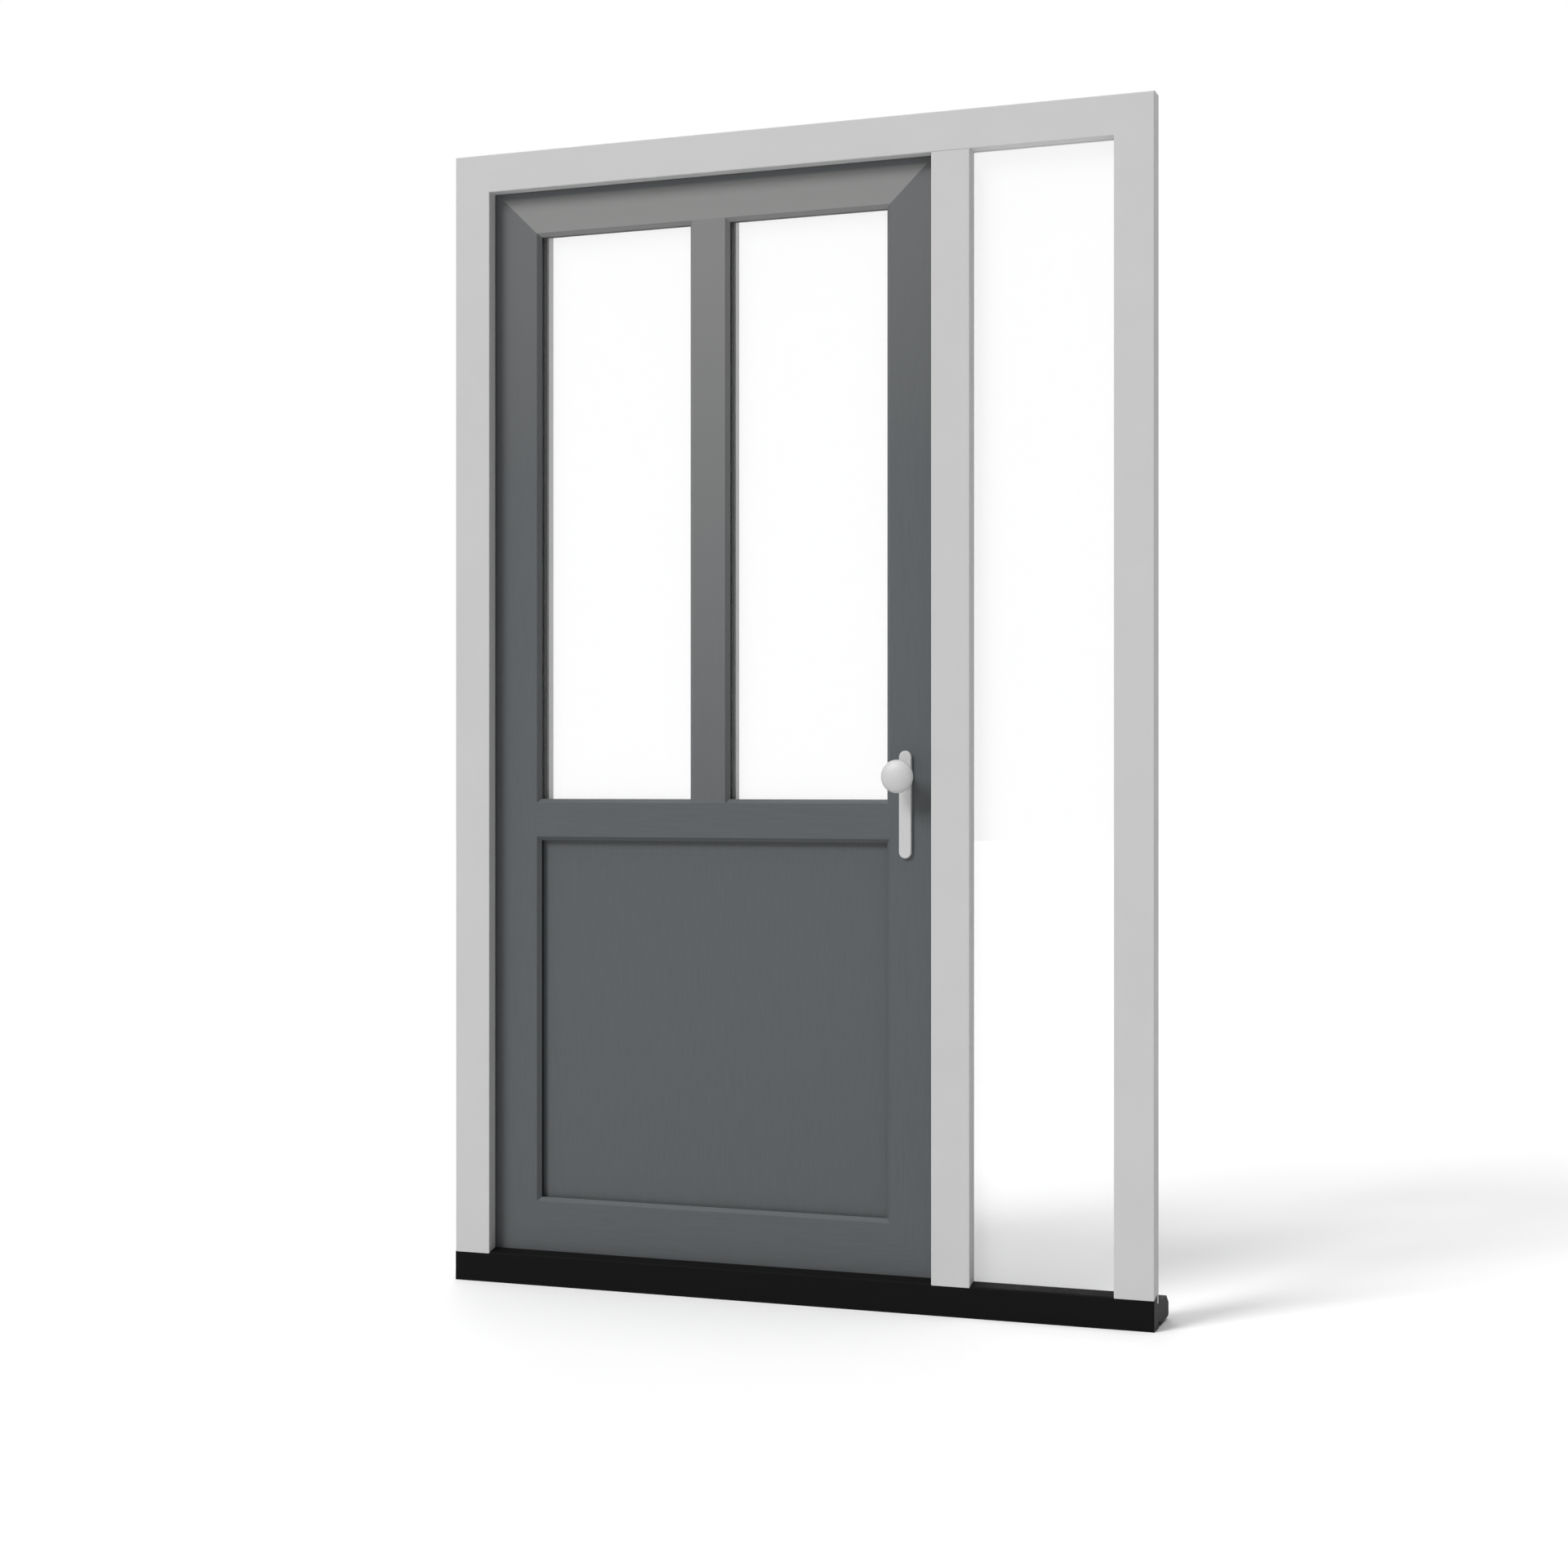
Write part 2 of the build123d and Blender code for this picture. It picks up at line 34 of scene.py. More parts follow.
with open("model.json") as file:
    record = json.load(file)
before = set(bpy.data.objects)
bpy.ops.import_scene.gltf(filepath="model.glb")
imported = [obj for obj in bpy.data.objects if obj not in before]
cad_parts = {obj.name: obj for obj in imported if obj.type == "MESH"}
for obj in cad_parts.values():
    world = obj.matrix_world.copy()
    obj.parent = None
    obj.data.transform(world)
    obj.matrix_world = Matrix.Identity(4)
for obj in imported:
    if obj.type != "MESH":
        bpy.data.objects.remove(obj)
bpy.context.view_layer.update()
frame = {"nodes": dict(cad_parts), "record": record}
nodes = frame["nodes"]
slotOf = {part["node"]: part["material_slot"] for part in frame["record"]["subparts"]}
scene = bpy.context.scene
mm = 0.001
print("frame loaded:", len(nodes), "nodes")

# Camera, a metre above the ground and right of the door, turned to the left: faces that look right show
view = {
    "place": (1.734, -4.777, 1.060),
    "turnDegrees": 20.1,
    "lens": 57.1,
    "sensor": 36.0,
}


def makeCamera(v):
    data = bpy.data.cameras.new("view")
    data.lens = v["lens"]
    data.sensor_width = v["sensor"]
    data.sensor_fit = "HORIZONTAL"
    camera = bpy.data.objects.new("view", data)
    camera.location = v["place"]
    camera.rotation_euler = (math.radians(90), 0, math.radians(v["turnDegrees"]))
    scene.collection.objects.link(camera)
    scene.camera = camera


makeCamera(view)

# Studio light: a white floor that throws its light up, a broad lamp from the upper left in front, one
# overhead, and a low one behind for the inner side. Front faces come out at about their written colour.
studio = {
    "lamps": {
        # power, spread, turned from the front, height above the floor; angles in degrees
        "keyLamp": (2.22, 24, -33, 37),
        "overheadLamp": (1.6, 60, 0, 90),
        "backLamp": (1.2, 30, -155, 15),
    },
    "surround": 0.07,
    "floorColour": 0.86,
    "floorSeenColour": 1.0,
    "floorRoughness": 0.9,
    "floorHalfWidth": 40.0,
}


def seenDirectly(tree):
    # 1 for rays from the camera, from gloss and through glass, 0 for the rays that light the object
    path = tree.nodes.new("ShaderNodeLightPath")
    first = tree.nodes.new("ShaderNodeMath")
    first.operation = "MAXIMUM"
    tree.links.new(path.outputs["Is Camera Ray"], first.inputs[0])
    tree.links.new(path.outputs["Is Glossy Ray"], first.inputs[1])
    second = tree.nodes.new("ShaderNodeMath")
    second.operation = "MAXIMUM"
    tree.links.new(first.outputs[0], second.inputs[0])
    tree.links.new(path.outputs["Is Transmission Ray"], second.inputs[1])
    return second.outputs[0]


def makeStudio(s):
    world = bpy.data.worlds.new("surround")
    scene.world = world
    world.use_nodes = True
    tree = world.node_tree
    background = tree.nodes["Background"]
    background.inputs["Color"].default_value = (1, 1, 1, 1)
    strength = tree.nodes.new("ShaderNodeMapRange")
    strength.inputs["To Min"].default_value = s["surround"]
    strength.inputs["To Max"].default_value = 1.0
    tree.links.new(seenDirectly(tree), strength.inputs["Value"])
    tree.links.new(strength.outputs["Result"], background.inputs["Strength"])

    for name, (power, spread, turn, height) in s["lamps"].items():
        lampData = bpy.data.lights.new(name, "SUN")
        lampData.energy = power
        lampData.angle = math.radians(spread)
        lamp = bpy.data.objects.new(name, lampData)
        lamp.rotation_euler = (math.radians(90 - height), 0, math.radians(turn))
        scene.collection.objects.link(lamp)

    half = s["floorHalfWidth"]
    floorMesh = bpy.data.meshes.new("floor")
    corners = [(-half, -half, 0), (half, -half, 0), (half, half, 0), (-half, half, 0)]
    floorMesh.from_pydata(corners, [], [(0, 1, 2, 3)])
    floor = bpy.data.objects.new("floor", floorMesh)
    scene.collection.objects.link(floor)
    material = bpy.data.materials.new("paleFloor")
    material.use_nodes = True
    tree = material.node_tree
    shader = tree.nodes["Principled BSDF"]
    tone = tree.nodes.new("ShaderNodeMapRange")
    tone.inputs["To Min"].default_value = s["floorColour"]
    tone.inputs["To Max"].default_value = s["floorSeenColour"]
    tree.links.new(seenDirectly(tree), tone.inputs["Value"])
    tree.links.new(tone.outputs["Result"], shader.inputs["Base Color"])
    shader.inputs["Roughness"].default_value = s["floorRoughness"]
    shader.inputs["Specular IOR Level"].default_value = 0.0
    floorMesh.materials.append(material)
    scene.view_settings.view_transform = "Standard"


makeStudio(studio)
print("camera, lamps and floor ready")


# Finishes. Each is a Principled shader fed by noise on the piece's own coordinates, in metres. Most of the
# noise lies between these two values, and a finish goes from its first number or colour to its second there.
noiseLow = 0.3
noiseHigh = 0.7
# How much darker and lighter than its colour a finish gets
speckleShades = (0.8, 1.25)
brushShades = (0.95, 1.04)


def startFinish(name):
    material = bpy.data.materials.new(name)
    material.use_nodes = True
    tree = material.node_tree
    return material, tree, tree.nodes["Principled BSDF"]


def noiseField(tree, stretch, scale, detail):
    # Noise on coordinates multiplied by stretch along x, y and z, so that less than 1 draws it out
    place = tree.nodes.new("ShaderNodeTexCoord")
    mapping = tree.nodes.new("ShaderNodeMapping")
    mapping.inputs["Scale"].default_value = stretch
    tree.links.new(place.outputs["Object"], mapping.inputs["Vector"])
    noise = tree.nodes.new("ShaderNodeTexNoise")
    noise.inputs["Scale"].default_value = scale
    noise.inputs["Detail"].default_value = detail
    tree.links.new(mapping.outputs["Vector"], noise.inputs["Vector"])
    return noise.outputs["Fac"]


def colourBetween(tree, value, dark, light):
    ramp = tree.nodes.new("ShaderNodeValToRGB")
    ramp.color_ramp.elements[0].position = noiseLow
    ramp.color_ramp.elements[0].color = (*dark, 1)
    ramp.color_ramp.elements[1].position = noiseHigh
    ramp.color_ramp.elements[1].color = (*light, 1)
    tree.links.new(value, ramp.inputs["Fac"])
    return ramp.outputs["Color"]


def numberBetween(tree, value, low, high):
    spread = tree.nodes.new("ShaderNodeMapRange")
    spread.inputs["From Min"].default_value = noiseLow
    spread.inputs["From Max"].default_value = noiseHigh
    spread.inputs["To Min"].default_value = low
    spread.inputs["To Max"].default_value = high
    tree.links.new(value, spread.inputs["Value"])
    return spread.outputs["Result"]


def relief(tree, shader, value, depth, strength):
    bump = tree.nodes.new("ShaderNodeBump")
    bump.inputs["Distance"].default_value = depth
    bump.inputs["Strength"].default_value = strength
    tree.links.new(value, bump.inputs["Height"])
    tree.links.new(bump.outputs["Normal"], shader.inputs["Normal"])


def shade(colour, factor):
    return tuple(channel * factor for channel in colour)


def smoothUpvc(name, f):
    # Extruded plastic: nearly even colour, faint clouding, very fine orange peel
    material, tree, shader = startFinish(name)
    cloud = noiseField(tree, (1, 1, 1), f["cloudScale"], detail=3)
    dark = shade(f["colour"], 1 - f["cloud"])
    light = shade(f["colour"], 1 + f["cloud"])
    tint = colourBetween(tree, cloud, dark, light)
    tree.links.new(tint, shader.inputs["Base Color"])
    tree.links.new(numberBetween(tree, cloud, *f["roughness"]), shader.inputs["Roughness"])
    shader.inputs["Specular IOR Level"].default_value = f["specular"]
    peel = noiseField(tree, (1, 1, 1), f["peelScale"], detail=2)
    relief(tree, shader, peel, f["peelDepth"], f["peelStrength"])
    return material


def grainedFoil(name, f, along, paintedSheen):
    # Laminated foil: short pores drawn out along the profile. Given a painted sheen, the piece's outer side
    # turns towards the sheen's paler colour by one amount at its low height and another at its high one. This
    # is a painted highlight standing in for the lamps' reflection, not the foil's own colour.
    material, tree, shader = startFinish(name)
    stretch = [1, 1, 1]
    stretch["xyz".index(along)] = f["grainStretch"]
    pores = noiseField(tree, stretch, f["grainScale"], detail=4)
    dark = shade(f["colour"], 1 - f["grainContrast"])
    light = shade(f["colour"], 1 + f["grainContrast"])
    tint = colourBetween(tree, pores, dark, light)
    # Painted sheen: a paler colour by height, on the outer side only
    if paintedSheen:
        place = tree.nodes.new("ShaderNodeTexCoord")
        split = tree.nodes.new("ShaderNodeSeparateXYZ")
        tree.links.new(place.outputs["Object"], split.inputs["Vector"])
        paintedSheenByHeight = tree.nodes.new("ShaderNodeMapRange")
        paintedSheenByHeight.inputs["From Min"].default_value = paintedSheen["low"]
        paintedSheenByHeight.inputs["From Max"].default_value = paintedSheen["high"]
        paintedSheenByHeight.inputs["To Min"].default_value = paintedSheen["lowAmount"]
        paintedSheenByHeight.inputs["To Max"].default_value = paintedSheen["highAmount"]
        tree.links.new(split.outputs["Z"], paintedSheenByHeight.inputs["Value"])
        outside = tree.nodes.new("ShaderNodeMath")
        outside.operation = "LESS_THAN"
        outside.inputs[1].default_value = f["paintedSheenOutsideTo"]
        tree.links.new(split.outputs["Y"], outside.inputs[0])
        paintedSheenAmount = tree.nodes.new("ShaderNodeMath")
        paintedSheenAmount.operation = "MULTIPLY"
        tree.links.new(paintedSheenByHeight.outputs["Result"], paintedSheenAmount.inputs[0])
        tree.links.new(outside.outputs[0], paintedSheenAmount.inputs[1])
        blend = tree.nodes.new("ShaderNodeMix")
        blend.data_type = "RGBA"
        tree.links.new(paintedSheenAmount.outputs[0], blend.inputs["Factor"])
        tree.links.new(tint, blend.inputs["A"])
        blend.inputs["B"].default_value = (*paintedSheen["colour"], 1)
        tint = blend.outputs["Result"]
    tree.links.new(tint, shader.inputs["Base Color"])
    tree.links.new(numberBetween(tree, pores, *f["roughness"]), shader.inputs["Roughness"])
    shader.inputs["Specular IOR Level"].default_value = f["specular"]
    relief(tree, shader, pores, f["grainDepth"], f["grainStrength"])
    return material


def speckled(name, f):
    # Moulded composite or rubber: dull, with fine speckle and a little dust-like unevenness
    material, tree, shader = startFinish(name)
    speckle = noiseField(tree, (1, 1, 1), f["speckleScale"], detail=3)
    dark, light = (shade(f["colour"], factor) for factor in speckleShades)
    tint = colourBetween(tree, speckle, dark, light)
    tree.links.new(tint, shader.inputs["Base Color"])
    tree.links.new(numberBetween(tree, speckle, *f["roughness"]), shader.inputs["Roughness"])
    shader.inputs["Specular IOR Level"].default_value = f["specular"]
    relief(tree, shader, speckle, f["speckleDepth"], f["speckleStrength"])
    return material


def speckledWithPalerEnds(name, f):
    # The same, paler on the end faces, where the normal's x part is large
    material = speckled(name, f)
    tree = material.node_tree
    shader = tree.nodes["Principled BSDF"]
    speckleTint = shader.inputs["Base Color"].links[0].from_socket
    surface = tree.nodes.new("ShaderNodeNewGeometry")
    split = tree.nodes.new("ShaderNodeSeparateXYZ")
    tree.links.new(surface.outputs["True Normal"], split.inputs["Vector"])
    sideways = tree.nodes.new("ShaderNodeMath")
    sideways.operation = "ABSOLUTE"
    tree.links.new(split.outputs["X"], sideways.inputs[0])
    endFace = tree.nodes.new("ShaderNodeMath")
    endFace.operation = "GREATER_THAN"
    endFace.inputs[1].default_value = f["palerEndAbove"]
    tree.links.new(sideways.outputs[0], endFace.inputs[0])
    blend = tree.nodes.new("ShaderNodeMix")
    blend.data_type = "RGBA"
    tree.links.new(endFace.outputs[0], blend.inputs["Factor"])
    tree.links.new(speckleTint, blend.inputs["A"])
    blend.inputs["B"].default_value = (*f["palerEndColour"], 1)
    tree.links.new(blend.outputs["Result"], shader.inputs["Base Color"])
    return material


def brushedMetal(name, f):
    # Metal with fine scratches drawn out along one direction
    material, tree, shader = startFinish(name)
    stretch = [1, 1, 1]
    stretch["xyz".index(f["along"])] = f["brushStretch"]
    brush = noiseField(tree, stretch, f["brushScale"], detail=3)
    dark, light = (shade(f["colour"], factor) for factor in brushShades)
    tint = colourBetween(tree, brush, dark, light)
    tree.links.new(tint, shader.inputs["Base Color"])
    tree.links.new(numberBetween(tree, brush, *f["roughness"]), shader.inputs["Roughness"])
    shader.inputs["Metallic"].default_value = f["metallic"]
    relief(tree, shader, brush, f["brushDepth"], f["brushStrength"])
    return material


def clearGlass(name, f):
    # Thin clear sheet: mostly see-through, with its gloss on top and a faint unevenness
    material, tree, shader = startFinish(name)
    shader.inputs["Base Color"].default_value = (*f["colour"], 1)
    shader.inputs["Alpha"].default_value = f["cover"]
    shader.inputs["IOR"].default_value = f["ior"]
    wave = noiseField(tree, (1, 1, 1), f["waveScale"], detail=1)
    tree.links.new(numberBetween(tree, wave, *f["roughness"]), shader.inputs["Roughness"])
    relief(tree, shader, wave, f["waveDepth"], f["waveStrength"])
    return material


upvc = {
    "colour": (0.54, 0.54, 0.54), "cloud": 0.012, "cloudScale": 9, "roughness": (0.42, 0.52),
    "specular": 0.3, "peelScale": 700, "peelDepth": 0.02 * mm, "peelStrength": 0.4,
}
foil = {
    "colour": (0.0855, 0.092, 0.097), "grainContrast": 0.06, "grainScale": 420, "grainStretch": 0.045,
    "roughness": (0.46, 0.58), "specular": 0.3, "grainDepth": 0.06 * mm, "grainStrength": 0.35,
    # The painted sheen reaches this far in from the outer face
    "paintedSheenOutsideTo": 30 * mm,
}
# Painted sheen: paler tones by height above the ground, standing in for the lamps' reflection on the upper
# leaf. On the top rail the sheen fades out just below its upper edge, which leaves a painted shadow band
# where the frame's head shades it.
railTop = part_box("top_rail")[1][2]
paintedSheenAndShadowTopRail = {
    "colour": (0.229, 0.229, 0.227), "low": railTop - 29 * mm, "high": railTop - 22 * mm,
    "lowAmount": 1, "highAmount": 0.15,
}
paintedSheenBar = {
    "colour": (0.207, 0.207, 0.205), "low": 1050 * mm, "high": 2250 * mm,
    "lowAmount": 0.17, "highAmount": 0.92,
}
paintedSheenStile = {
    "colour": (0.15, 0.151, 0.152), "low": 1700 * mm, "high": 2350 * mm,
    "lowAmount": 0, "highAmount": 0.5,
}
composite = {
    "colour": (0.0045, 0.0045, 0.0047), "speckleScale": 520, "roughness": (0.6, 0.75), "specular": 0.06,
    "speckleDepth": 0.1 * mm, "speckleStrength": 0.3, "palerEndColour": (0.06, 0.06, 0.062), "palerEndAbove": 0.9,
}
rubber = {
    "colour": (0.010, 0.010, 0.0105), "speckleScale": 900, "roughness": (0.55, 0.7), "specular": 0.2,
    "speckleDepth": 0.03 * mm, "speckleStrength": 0.3,
}
glass = {
    "colour": (0.97, 0.985, 0.98), "cover": 0.05, "roughness": (0.01, 0.03), "waveScale": 2.2,
    "waveDepth": 1 * mm, "waveStrength": 0.02, "ior": 1.45,
}
paleSpacer = {
    "colour": (0.62, 0.62, 0.62), "metallic": 0.5, "along": "z", "brushStretch": 0.2, "brushScale": 300,
    "roughness": (0.4, 0.5), "brushDepth": 0.02 * mm, "brushStrength": 0.2,
}
satin = {
    "colour": (0.53, 0.53, 0.53), "metallic": 0.12, "along": "z", "brushStretch": 0.12, "brushScale": 600,
    "roughness": (0.50, 0.60), "brushDepth": 0.02 * mm, "brushStrength": 0.25,
}
stainless = {
    "colour": (0.40, 0.40, 0.41), "metallic": 1.0, "along": "z", "brushStretch": 0.04, "brushScale": 900,
    "roughness": (0.28, 0.40), "brushDepth": 0.02 * mm, "brushStrength": 0.3,
}

finishes = {
    "frame_light": smoothUpvc("frameUpvc", upvc),
    "bead_light": smoothUpvc("beadUpvc", upvc),
    "leaf_dark": grainedFoil("leafFoilUpright", foil, "z", None),
    "threshold_black": speckledWithPalerEnds("thresholdComposite", composite),
    "clear_glass": clearGlass("clearSheet", glass),
    "spacer_black": speckled("blackSpacer", rubber),
    "spacer_light": brushedMetal("paleSpacer", paleSpacer),
    "seal_black": speckled("blackRubber", rubber),
    "handle_metal": brushedMetal("satinAluminium", satin),
    "steel": brushedMetal("stainlessSteel", stainless),
}
levelFoil = grainedFoil("leafFoilLevel", foil, "x", None)
# The top rail, middle bar and stiles get the painted sheen, and the top rail also its painted shadow band
# along the upper edge
nodeFinish = {
    "top_rail": grainedFoil("leafFoilTopPaintedSheenAndShadow", foil, "x", paintedSheenAndShadowTopRail),
    "middle_bar": grainedFoil("leafFoilBarPaintedSheen", foil, "z", paintedSheenBar),
    "hinge_stile": grainedFoil("leafFoilStilePaintedSheen", foil, "z", paintedSheenStile),
    "mid_rail": levelFoil,
    "bottom_rail": levelFoil,
}
nodeFinish["lock_stile"] = nodeFinish["hinge_stile"]


def dressNodes():
    for name, node in nodes.items():
        material = nodeFinish.get(name, finishes[slotOf[name]])
        if not node.data.materials:
            node.data.materials.append(material)
        for index in range(len(node.material_slots)):
            node.material_slots[index].link = "OBJECT"
            node.material_slots[index].material = material


dressNodes()
print("finishes on", len(nodes), "nodes")


# Surfaces. Points are worked out as whole arrays and put into a mesh in one go.
def outward(points, faces):
    # Signed volume of the closed surface: negative means that its faces look inwards
    a, b, c, d = (points[faces[:, k]] for k in range(4))
    volume = np.einsum("ij,ij->", a, np.cross(b, c)) + np.einsum("ij,ij->", a, np.cross(c, d))
    return faces if volume > 0 else faces[:, ::-1]


def putPiece(name, points, faces, body, slotName):
    # A face that gives one corner twice is a triangle
    mesh = bpy.data.meshes.new(name)
    mesh.from_pydata(points.tolist(), [], [tuple(dict.fromkeys(face)) for face in faces.tolist()])
    mesh.polygons.foreach_set("use_smooth", np.ones(len(mesh.polygons), bool))
    mesh.materials.append(finishes[slotName])
    mesh.update()
    piece = bpy.data.objects.new(name, mesh)
    scene.collection.objects.link(piece)
    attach(piece, body)
    return piece


def gridFaces(rows, columns):
    # Quads of a grid that closes on itself both ways
    i, j = np.meshgrid(np.arange(rows), np.arange(columns), indexing="ij")
    nextRow = (i + 1) % rows
    nextColumn = (j + 1) % columns
    near = i * columns
    far = nextRow * columns
    return np.stack([near + j, far + j, far + nextColumn, near + nextColumn]).reshape(4, -1).T


def joined(parts):
    # Several (points, faces) pairs as one
    starts = np.cumsum([0] + [len(points) for points, _ in parts[:-1]])
    points = np.concatenate([p for p, _ in parts])
    faces = np.concatenate([f + s for (_, f), s in zip(parts, starts)])
    return points, faces


def strip(x0, x1, z0, z1, section):
    # Section carried round a rectangle with mitred corners: at each corner, a point goes inwards by the
    # section's first number, along both x and z, and lies at the depth of its second number.
    inset, depth = section
    cornerX = np.array([x0, x1, x1, x0])
    cornerZ = np.array([z0, z0, z1, z1])
    inX = np.array([1, -1, -1, 1])
    inZ = np.array([1, 1, -1, -1])
    x = cornerX[:, None] + inX[:, None] * inset[None, :]
    z = cornerZ[:, None] + inZ[:, None] * inset[None, :]
    y = np.broadcast_to(depth[None, :], x.shape)
    points = np.stack([x, y, z], axis=-1).reshape(-1, 3)
    faces = gridFaces(4, len(inset))
    return points, outward(points, faces)


def bulb(centre, radii, squareness, steps):
    # Closed oval: each coordinate is the cosine or sine of the angle, raised to 2 / squareness with its
    # sign kept
    angle = np.linspace(0, 2 * np.pi, steps, endpoint=False)
    power = 2 / squareness
    across = centre[0] + radii[0] * np.sign(np.cos(angle)) * np.abs(np.cos(angle)) ** power
    deep = centre[1] + radii[1] * np.sign(np.sin(angle)) * np.abs(np.sin(angle)) ** power
    return across, deep


def turnedFaces(rings, n):
    # Rings of n points each, one after another, then a middle point for the first ring and one for the last
    i, j = np.meshgrid(np.arange(rings - 1), np.arange(n), indexing="ij")
    k = (j + 1) % n
    walls = np.stack([i * n + j, (i + 1) * n + j, (i + 1) * n + k, i * n + k]).reshape(4, -1).T
    around = np.arange(n)
    follow = (around + 1) % n
    first = np.full(n, rings * n)
    lastRing = (rings - 1) * n
    cap = np.stack([first, around, follow, first]).T
    base = np.stack([lastRing + around, first + 1, first + 1, lastRing + follow]).T
    return np.concatenate([walls, cap, base])


def turnedHead(centre, normal, s):
    # Screw head: its height falls with the square of the radius, less a cross-shaped recess that fades
    # out near the rim. Rings run from the middle out to the rim, then under it back to the axis.
    normal = np.array(normal, float)
    side = np.array([0, 0, 1.0])
    other = np.cross(normal, side)
    rings = s["rings"]
    r = s["radius"] * np.linspace(1 / rings, 1, rings)[:, None]
    angle = np.linspace(0, 2 * np.pi, s["sectors"], endpoint=False)[None, :] + s["twist"]
    x = r * np.cos(angle)
    y = r * np.sin(angle)
    across = np.minimum(np.abs(x), np.abs(y))
    inSlot = np.clip((s["slotHalf"] - across) / (s["slotWall"] * s["slotHalf"]), 0, 1)
    inReach = np.clip((s["slotReach"] - r) / (s["slotEnd"] * s["slotReach"]), 0, 1)
    height = s["dome"] * (1 - (r / s["radius"]) ** 2) - s["slotDepth"] * inSlot * inReach
    height = height + s["proud"]
    top = np.stack([x, y, height], axis=-1).reshape(-1, 3)
    shank = s["shankShare"]
    under = np.stack([shank * x[-1], shank * y[-1], np.full(x.shape[1], -s["sunk"])], axis=-1)
    middleTop = np.array([[0, 0, s["proud"] + s["dome"] - s["slotDepth"]]])
    middleUnder = np.array([[0, 0, -s["sunk"]]])
    local = np.concatenate([top, under, middleTop, middleUnder])
    faces = turnedFaces(rings + 1, s["sectors"])
    points = np.array(centre) + local[:, :1] * side + local[:, 1:2] * other + local[:, 2:] * normal
    return points, outward(points, faces)


# Screws of the hinges, the lock strip, the keeps and the inner plate. The slot's wall and end fade out over
# these shares of its half width and of its reach, and each screw is turned a step further than the last.
screw = {
    "radius": 4.0 * mm, "dome": 0.5 * mm, "slotHalf": 0.65 * mm, "slotReach": 2.4 * mm, "slotDepth": 0.9 * mm,
    "slotWall": 0.4, "slotEnd": 0.25, "shankShare": 0.75, "proud": 0.15 * mm, "sunk": 1.0 * mm,
    "rings": 12, "sectors": 48, "twist": 0.35, "twistStep": 0.7,
}
smallScrew = {**screw, "radius": 2.9 * mm, "slotReach": 1.9 * mm, "slotHalf": 0.5 * mm, "twist": 0.9}
screwPlaces = {
    "hingeNames": ["bottom", "middle", "top"],
    "frameHingeInsets": [(9 * mm, 9 * mm), (9 * mm, 34 * mm), (22 * mm, 21 * mm)],
    "leafHingeInsets": [(10 * mm, 11 * mm), (10 * mm, 34 * mm), (34 * mm, 11 * mm), (34 * mm, 34 * mm)],
    "plateThick": 4 * mm,
    "stripStep": 170 * mm,
    "stripEnd": 30 * mm,
    "boltClear": 8 * mm,
    "keepHalf": 60 * mm,
    "keepEnd": 14 * mm,
    "middleKeepUp": 420 * mm,
    "innerPlateEnd": 12 * mm,
}


def screwGroup(name, places, normal, kind, body):
    heads = []
    for k, place in enumerate(places):
        turned = {**kind, "twist": kind["twist"] + k * kind["twistStep"]}
        heads.append(turnedHead(place, normal, turned))
    points, faces = joined(heads)
    putPiece(name, points, faces, body, "steel")


def makeScrews(p):
    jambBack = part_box("left_jamb")[1][1] + p["plateThick"]
    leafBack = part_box("hinge_stile")[1][1] + p["plateThick"]
    onFrame = []
    onLeaf = []
    for hinge in p["hingeNames"]:
        low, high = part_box(f"{hinge}_hinge_frame_half")
        onFrame += [(low[0] + dx, jambBack, low[2] + dz) for dx, dz in p["frameHingeInsets"]]
        low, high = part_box(f"{hinge}_hinge_leaf_half")
        onLeaf += [(high[0] - dx, leafBack, low[2] + dz) for dx, dz in p["leafHingeInsets"]]
    screwGroup("frameHingeScrews", onFrame, (0, 1, 0), screw, "frame")
    screwGroup("leafHingeScrews", onLeaf, (0, 1, 0), screw, "leaf")

    low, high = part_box("lock_strip")
    bolts = [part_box("latch_bolt"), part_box("dead_bolt")]
    heights = np.arange(low[2] + p["stripEnd"], high[2] - p["stripEnd"] / 2, p["stripStep"])
    gap = p["boltClear"]
    clear = [z for z in heights if all(z < bolt[0][2] - gap or z > bolt[1][2] + gap for bolt in bolts)]
    middleY = (low[1] + high[1]) / 2
    screwGroup("stripScrews", [(high[0], middleY, z) for z in clear], (1, 0, 0), smallScrew, "leaf")

    low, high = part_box("lock_keeps")
    middleY = (low[1] + high[1]) / 2
    half = p["keepHalf"]
    lowest = low[2] + half
    highest = high[2] - half
    keepZ = [lowest, lowest + p["middleKeepUp"], highest]
    ends = [z + side * (half - p["keepEnd"]) for z in keepZ for side in (-1, 1)]
    screwGroup("keepScrews", [(low[0], middleY, z) for z in ends], (-1, 0, 0), smallScrew, "frame")

    low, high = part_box("inner_backplate")
    middleX = (low[0] + high[0]) / 2
    ends = [low[2] + p["innerPlateEnd"], high[2] - p["innerPlateEnd"]]
    screwGroup("innerPlateScrews", [(middleX, high[1], z) for z in ends], (0, 1, 0), smallScrew, "leaf")


makeScrews(screwPlaces)
print("screws ready")

# Knobs, turned about their stems. What ends in Height, From, To or At is a distance from the plate.
knob = {
    "footRadius": 12.5 * mm, "footHeight": 5 * mm,
    "neckRadius": 10.5 * mm, "neckFrom": 9 * mm, "neckTo": 20 * mm,
    "flareRadius": 26 * mm, "flareTo": 46 * mm, "rimRadius": 33.5 * mm, "rimAt": 53 * mm,
    "steps": 24, "sectors": 128, "sharpDegrees": 35,
}


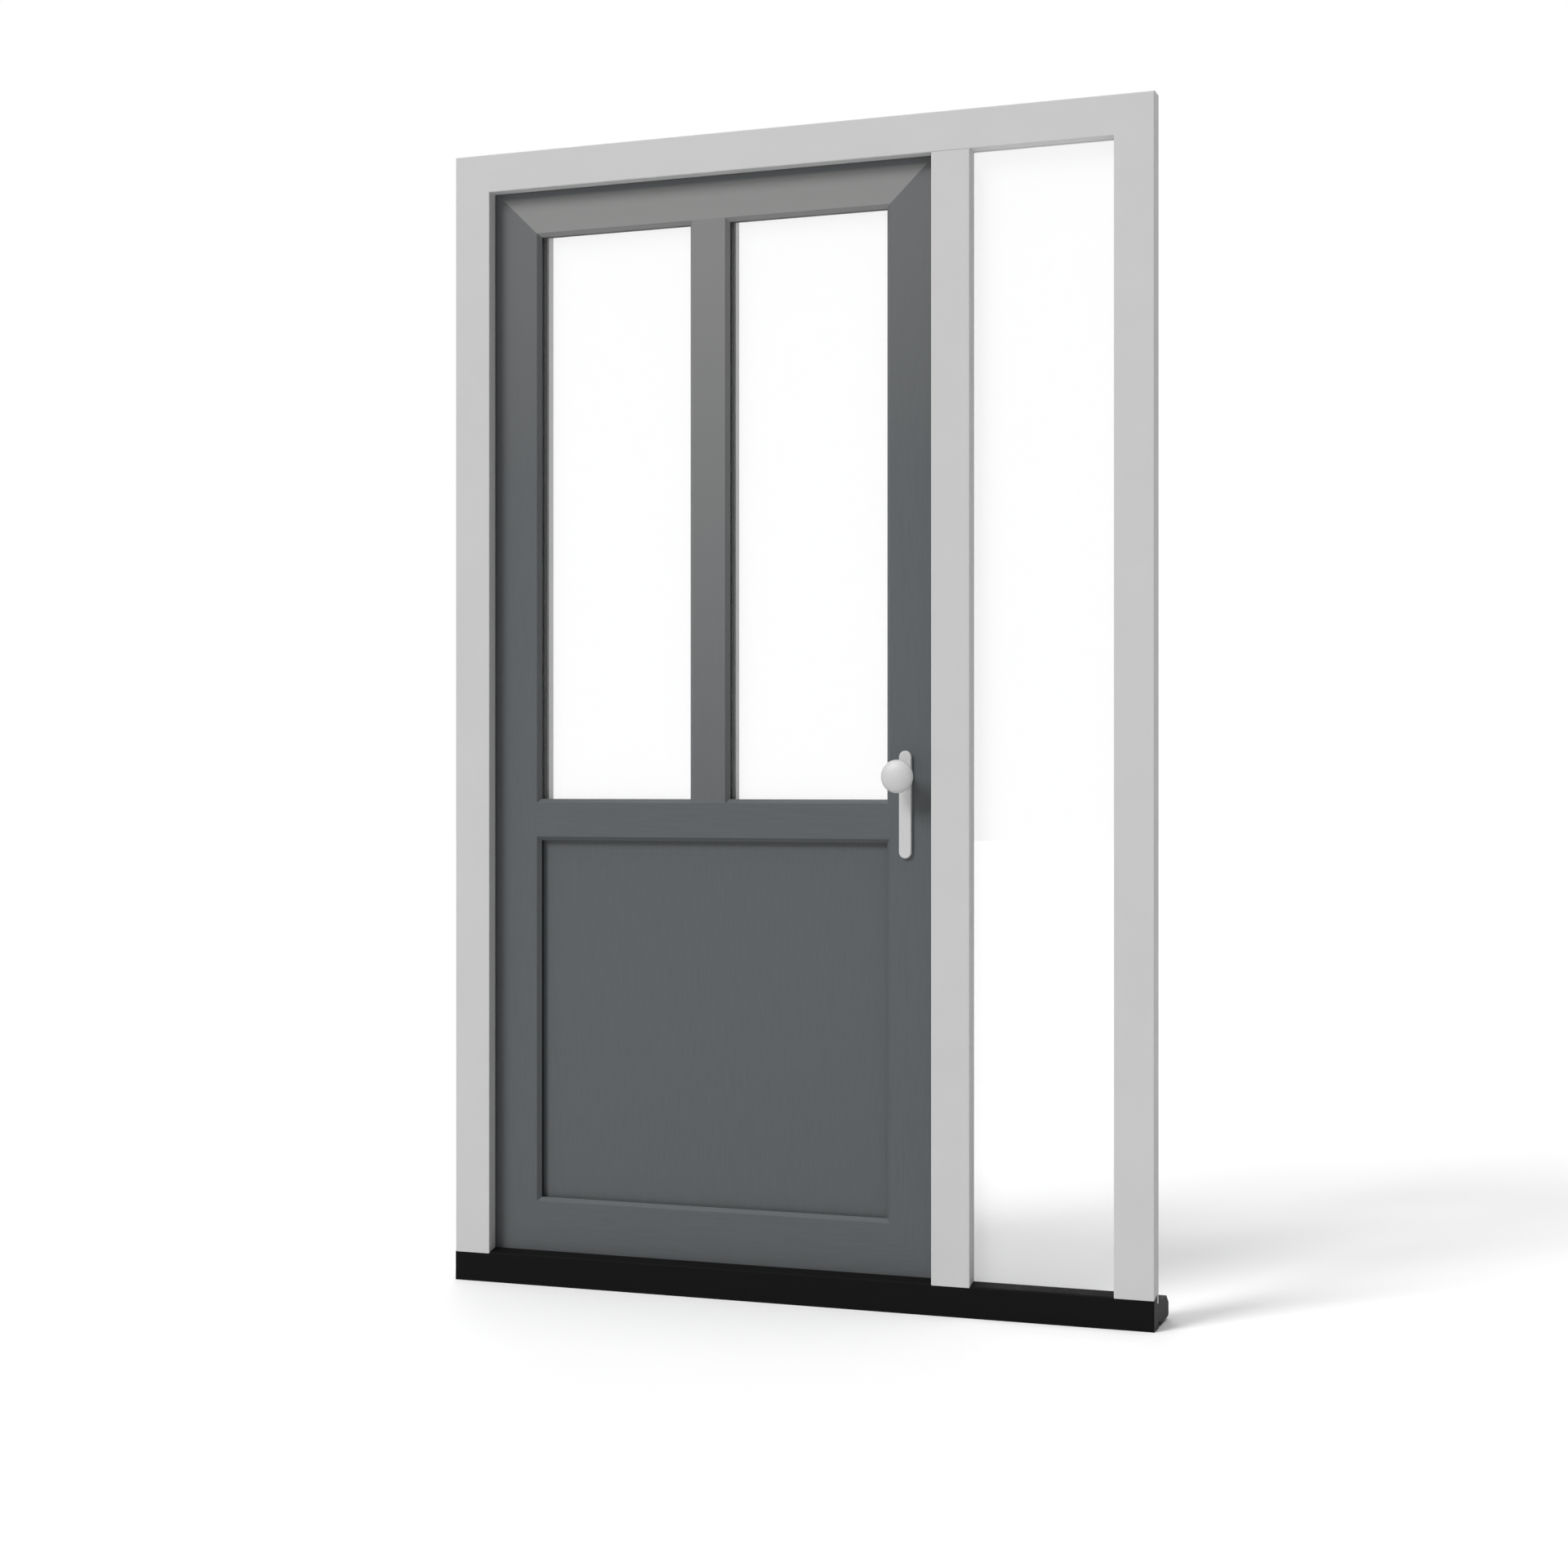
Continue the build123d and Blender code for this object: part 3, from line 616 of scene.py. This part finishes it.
def knobProfile(k, length):
    # Radius and distance from the plate. The foot and neck are straight, the flare's radius grows with the
    # square of the way along it, and the rim's back and the dome are quarter ellipses that meet at the rim.
    way = np.linspace(0, 1, k["steps"])
    turn = way * np.pi / 2
    flareRadius = k["neckRadius"] + (k["flareRadius"] - k["neckRadius"]) * way ** 2
    flareAt = k["neckTo"] + (k["flareTo"] - k["neckTo"]) * way
    backRadius = k["flareRadius"] + (k["rimRadius"] - k["flareRadius"]) * np.sin(turn)
    backAt = k["rimAt"] - (k["rimAt"] - k["flareTo"]) * np.cos(turn)
    domeRadius = k["rimRadius"] * np.cos(turn)
    domeAt = k["rimAt"] + (length - k["rimAt"]) * np.sin(turn)
    radius = np.concatenate(
        [[k["footRadius"], k["footRadius"], k["neckRadius"]], flareRadius, backRadius[1:], domeRadius[1:-1]]
    )
    distance = np.concatenate([[0, k["footHeight"], k["neckFrom"]], flareAt, backAt[1:], domeAt[1:-1]])
    return radius, distance


def makeKnob(name, node, outwards, k):
    low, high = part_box(node)
    plateY = low[1] if outwards > 0 else high[1]
    length = high[1] - low[1]
    radius, distance = knobProfile(k, length)
    angle = np.linspace(0, 2 * np.pi, k["sectors"], endpoint=False)
    middleX = (low[0] + high[0]) / 2
    middleZ = (low[2] + high[2]) / 2
    x = middleX + radius[:, None] * np.cos(angle)
    z = middleZ + radius[:, None] * np.sin(angle)
    y = np.broadcast_to(plateY + outwards * distance[:, None], x.shape)
    rings = np.stack([x, y, z], axis=-1).reshape(-1, 3)
    middles = np.array([[middleX, plateY, middleZ], [middleX, plateY + outwards * length, middleZ]])
    points = np.concatenate([rings, middles])
    faces = outward(points, turnedFaces(len(radius), k["sectors"]))
    piece = putPiece(name, points, faces, "leaf", "handle_metal")
    piece.data.set_sharp_from_angle(angle=math.radians(k["sharpDegrees"]))
    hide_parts(node)


makeKnob("outerKnob", "outer_knob", -1, knob)
makeKnob("innerKnob", "inner_knob", 1, knob)
print("knobs ready")

# Rubber strips: round the door opening behind the frame's front leg, and round each pane inside. The gasket
# fills the gap in front of the leaf, less what stays clear. A bead's two numbers tell how far its strip lies
# inside the beads' own box, at the sides and at the ends.
gasket = {
    "lap": 8 * mm, "halfWidth": 2.8 * mm, "gap": 5 * mm, "clear": 0.5 * mm, "squareness": 2.6, "steps": 20,
}
innerStrip = {
    "halfWidth": 1.2 * mm, "thick": 1.6 * mm, "squareness": 2.4, "steps": 14, "sunk": 0.4 * mm,
    "leafBead": (17.8 * mm, 13.5 * mm), "sidelightBead": (18 * mm, 12 * mm),
}


def makeDoorGasket(g):
    leafLow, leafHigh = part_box("hinge_stile")
    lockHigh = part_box("lock_stile")[1]
    thick = g["gap"] - g["clear"]
    centre = (g["lap"] / 2, leafLow[1] - g["gap"] + thick / 2)
    section = bulb(centre, (g["halfWidth"], thick / 2), g["squareness"], g["steps"])
    points, faces = strip(leafLow[0], lockHigh[0], leafLow[2], leafHigh[2], section)
    putPiece("doorGasket", points, faces, "frame", "seal_black")


def makeInnerStrips(g):
    for pane, beads, body, widths in (
        ("left_inner_pane", "left_pane_beads", "leaf", g["leafBead"]),
        ("right_inner_pane", "right_pane_beads", "leaf", g["leafBead"]),
        ("sidelight_inner_pane", "sidelight_beads", "frame", g["sidelightBead"]),
    ):
        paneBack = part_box(pane)[1][1]
        low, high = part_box(beads)
        side, end = widths
        centre = (-g["sunk"], paneBack + g["thick"] / 2)
        section = bulb(centre, (g["halfWidth"], g["thick"] / 2), g["squareness"], g["steps"])
        points, faces = strip(low[0] + side, high[0] - side, low[2] + end, high[2] - end, section)
        name = beads.split("_")[0] + "InnerStrip"
        putPiece(name, points, faces, body, "seal_black")


makeDoorGasket(gasket)
makeInnerStrips(innerStrip)
print("rubber strips ready")

print("all pieces ready")
